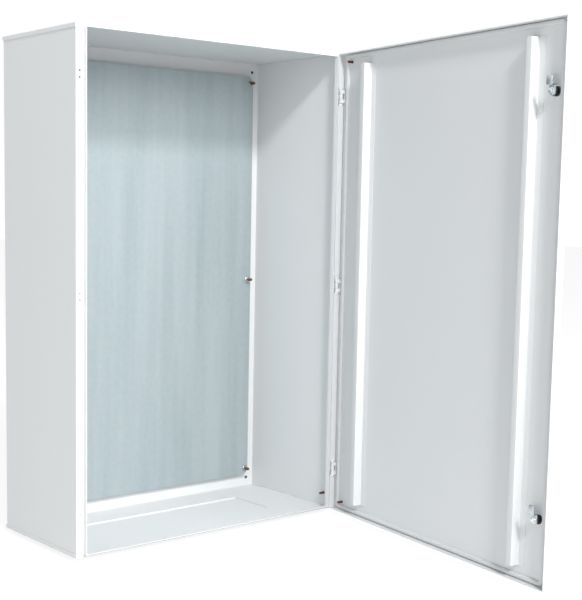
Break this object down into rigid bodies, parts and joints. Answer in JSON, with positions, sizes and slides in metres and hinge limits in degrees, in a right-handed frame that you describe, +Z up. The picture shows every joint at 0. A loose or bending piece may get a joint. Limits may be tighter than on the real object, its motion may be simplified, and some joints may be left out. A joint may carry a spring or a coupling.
{
  "type": "steel wall enclosure",
  "caption": "Wall-mounted sheet-steel enclosure with a side-hinged door that swings, quarter-turn cam locks and a galvanised mounting plate inside.",
  "frame": {"origin": "centre of the four wall-fixing holes, on the outer face of the rear wall", "axes": "+Z up, -Y towards the door, +X towards the hinges; the rear face lies in the plane Y = 0"},
  "size_m": [0.809, 1.1239, 1.2118],
  "materials": {
    "painted_grey": "light grey powder coat, fine texture, satin",
    "galvanised": "galvanised sheet, soft vertical streaks",
    "zinc_plated": "bright zinc plating",
    "cast_zinc": "die-cast zinc, matt nickel plating",
    "lock_body": "black lacquered die casting",
    "copper_stud": "copper-flashed weld stud",
    "foam_seal": "foamed polyurethane, matt",
    "black_rubber": "matt"
  },
  "bodies": {
    "root": {"case_wrap": "painted_grey", "top_panel": "painted_grey", "bottom_panel": "painted_grey", "seam_welds": "painted_grey", "gland_seal": "foam_seal", "gland_plate": "painted_grey", "gland_studs": "copper_stud", "gland_nuts": "zinc_plated", "mounting_plate": "galvanised", "plate_studs": "copper_stud", "plate_spacers": "zinc_plated", "plate_washers": "zinc_plated", "plate_nuts": "zinc_plated", "body_earth_stud": "copper_stud", "hinge_frame_upper": "painted_grey", "hinge_frame_middle": "painted_grey", "hinge_frame_lower": "painted_grey", "hinge_pin_upper": "zinc_plated", "hinge_pin_middle": "zinc_plated", "hinge_pin_lower": "zinc_plated", "hinge_screws": "zinc_plated"},
    "door": {"door_panel": "painted_grey", "door_seal": "foam_seal", "rail_hinge_side": "painted_grey", "rail_lock_side": "painted_grey", "door_earth_studs": "copper_stud", "hinge_leaf_upper": "painted_grey", "hinge_leaf_middle": "painted_grey", "hinge_leaf_lower": "painted_grey", "lock_housing_upper": "lock_body", "lock_housing_lower": "lock_body", "lock_seal_upper": "black_rubber", "lock_seal_lower": "black_rubber", "lock_nut_upper": "lock_body", "lock_nut_lower": "lock_body"},
    "lock_upper": {"spindle_upper": "cast_zinc", "cam_upper": "zinc_plated", "cam_washer_upper": "zinc_plated", "cam_bolt_upper": "zinc_plated"},
    "lock_lower": {"spindle_lower": "cast_zinc", "cam_lower": "zinc_plated", "cam_washer_lower": "zinc_plated", "cam_bolt_lower": "zinc_plated"}
  },
  "joints": [
    {"name": "door_hinge", "type": "hinge", "parent": "root", "child": "door", "pos_m": [0.395, -0.338, 0], "axis": [0, 0, 1], "range_deg": [-81, 39]},
    {"name": "lock_upper_turn", "type": "hinge", "parent": "door", "child": "lock_upper", "pos_m": [0.28859, -1.08657, 0.45], "axis": [-0.9877, 0.1564, 0], "range_deg": [-90, 0]},
    {"name": "lock_lower_turn", "type": "hinge", "parent": "door", "child": "lock_lower", "pos_m": [0.28859, -1.08657, -0.45], "axis": [-0.9877, 0.1564, 0], "range_deg": [-90, 0]}
  ]
}
